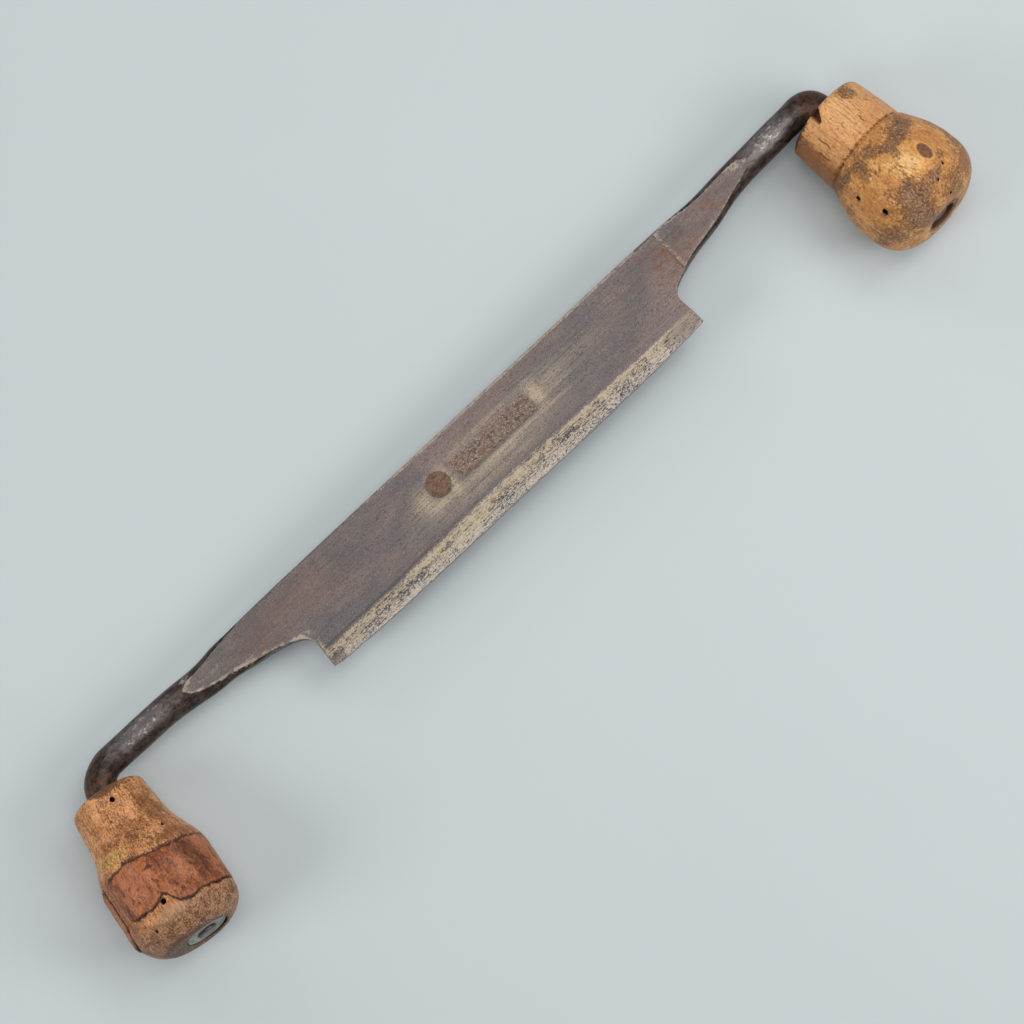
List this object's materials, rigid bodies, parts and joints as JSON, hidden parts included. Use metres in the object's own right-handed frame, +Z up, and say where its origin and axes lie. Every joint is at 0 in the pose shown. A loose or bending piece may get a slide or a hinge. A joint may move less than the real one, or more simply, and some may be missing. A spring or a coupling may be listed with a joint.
{
  "type": "bent drawknife",
  "caption": "Bent drawknife: forged blade with a ground bevel, its tangs bent forwards into whittled wooden knobs and riveted over roves; pulled by hand to shave wood.",
  "frame": {"origin": "on the bench, under the middle of the box that holds the whole tool as it lies on its knobs", "axes": "+X along the blade from the pear-shaped knob to the bulb-shaped one, +Y towards the blade's back, so the cutting edge and the knobs are on the -Y side, +Z up"},
  "size_m": [0.3786, 0.0726, 0.0442],
  "materials": {
    "forged_iron": "dark patina with a ground face, rubbed tan at the middle and along the bevel, rust at both ends",
    "pear_wood": "hand-worn, olive to orange brown, with worm holes",
    "bulb_wood": "hand-worn golden orange, dark on the bulb",
    "bark": "polished red-brown bark",
    "grey_rove": "dull grey",
    "rusted_rove": "dark rust"
  },
  "bodies": {
    "root": {"blade": "forged_iron", "left_handle": "pear_wood", "right_handle": "bulb_wood", "left_bark_band": "bark", "left_rove": "grey_rove", "right_rove": "rusted_rove"}
  },
  "joints": []
}
